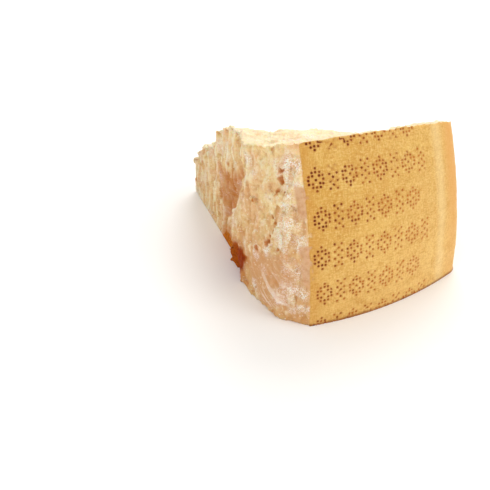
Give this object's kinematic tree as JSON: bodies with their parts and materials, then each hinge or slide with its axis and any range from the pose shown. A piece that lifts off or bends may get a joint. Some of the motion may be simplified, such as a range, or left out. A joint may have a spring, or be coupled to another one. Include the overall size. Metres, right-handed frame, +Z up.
{
  "type": "cheese wedge",
  "caption": "Wedge of hard aged grating cheese split from a wheel, with its rind on the curved side and rough broken faces, lying on a flat split face.",
  "frame": {"origin": "centre of the bounding box's base, on the surface that the wedge lies on", "axes": "+X along the axis of the wheel that the wedge was split from, from the broken face towards the wheel's flat face; +Y from the rind towards the tip; +Z up"},
  "size_m": [0.1374, 0.1906, 0.1078],
  "materials": {
    "aged_cheese": "matte broken paste with a satin golden rind on the curved side"
  },
  "bodies": {
    "root": {"cheese_wedge": "aged_cheese"}
  },
  "joints": []
}
